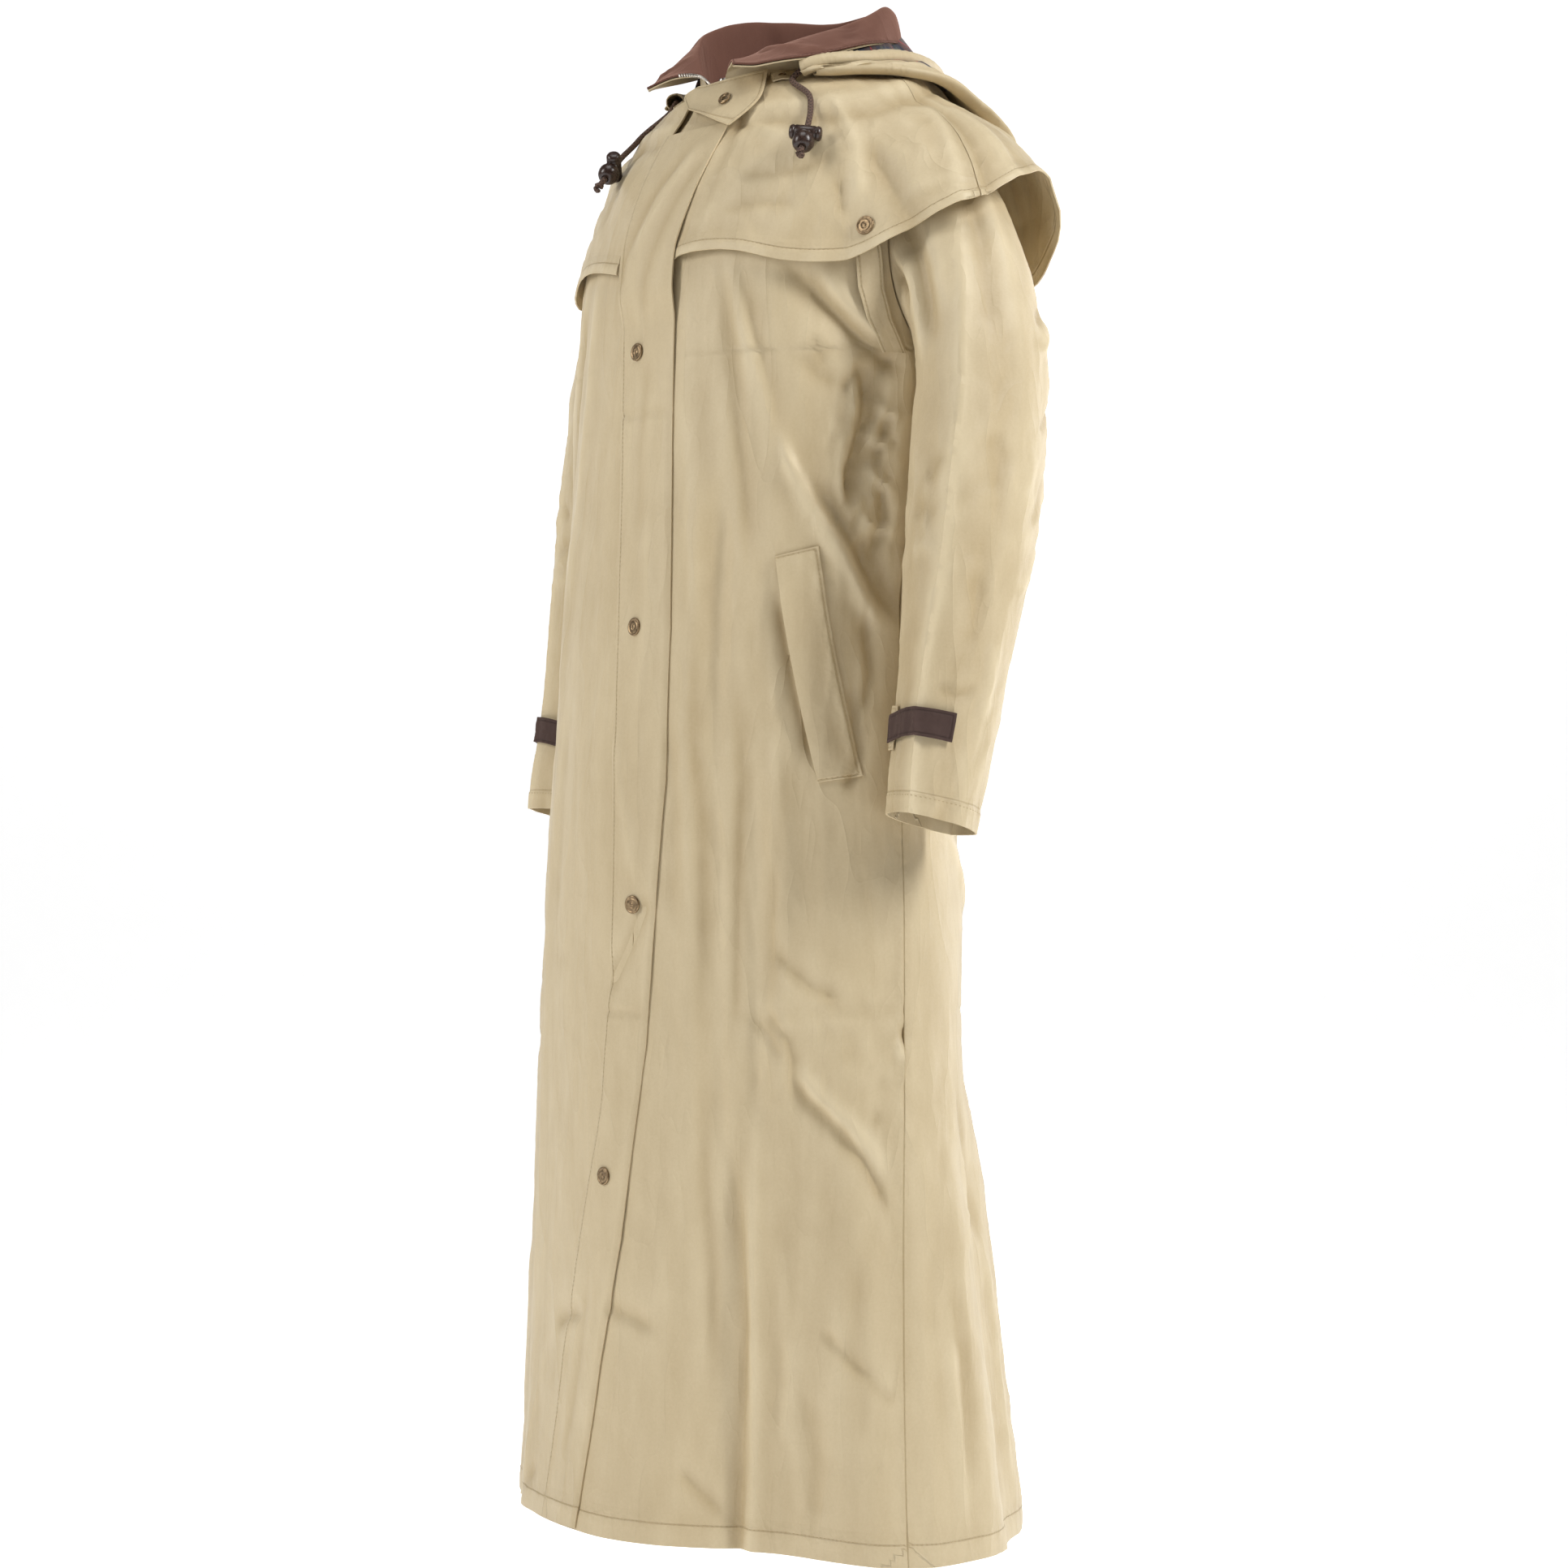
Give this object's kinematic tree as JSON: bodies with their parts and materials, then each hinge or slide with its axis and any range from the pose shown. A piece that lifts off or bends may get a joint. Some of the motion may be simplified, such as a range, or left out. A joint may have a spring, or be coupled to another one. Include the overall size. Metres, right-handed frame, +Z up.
{
  "type": "duster coat",
  "caption": "full-length worn duster coat, hollow, with shoulder cape, turned-down brown collar, hanging hood, front storm flap, welt pockets and cuff tabs",
  "frame": {"origin": "the centre of the neck at the level of the neck seam, where a hanger or shoulders hold the coat", "axes": "+Z up, -Y the way the wearer faces, +X the wearer's left"},
  "size_m": [0.6194, 0.3795, 1.3063],
  "materials": {
    "shell": "tan close-woven coat cloth with a faint wax sheen",
    "collar": "brown brushed collar cloth",
    "check": "dark checked hood lining",
    "tab": "dark brown cuff tab cloth",
    "cord": "dark brown braided cord",
    "toggle": "dark brown moulded cord lock",
    "snap": "antique brass snap caps",
    "zip": "bright metal zip slider"
  },
  "bodies": {
    "root": {"front_left": "shell", "front_right": "shell", "back": "shell", "sleeve_left": "shell", "sleeve_right": "shell", "cuff_tab_left": "tab", "cuff_tab_right": "tab", "cuff_tab_base_left": "shell", "cuff_tab_base_right": "shell", "cape_front_left": "shell", "cape_front_right": "shell", "cape_back": "shell", "cape_strap_left": "shell", "cape_strap_right": "shell", "storm_flap": "shell", "throat_tab": "shell", "pocket_welt_left": "shell", "pocket_welt_right": "shell", "collar_upper": "collar", "collar_under": "shell", "hood_shell": "shell", "hood_lining": "check", "hood_rim": "shell", "hood_tab_left": "shell", "hood_tab_right": "shell", "snap_1": "snap", "snap_2": "snap", "snap_3": "snap", "snap_4": "snap", "snap_throat": "snap", "snap_cape_left": "snap", "snap_cape_right": "snap", "drawcord_left": "cord", "drawcord_right": "cord", "toggle_left": "toggle", "toggle_right": "toggle", "zip_slider": "zip"}
  },
  "joints": []
}
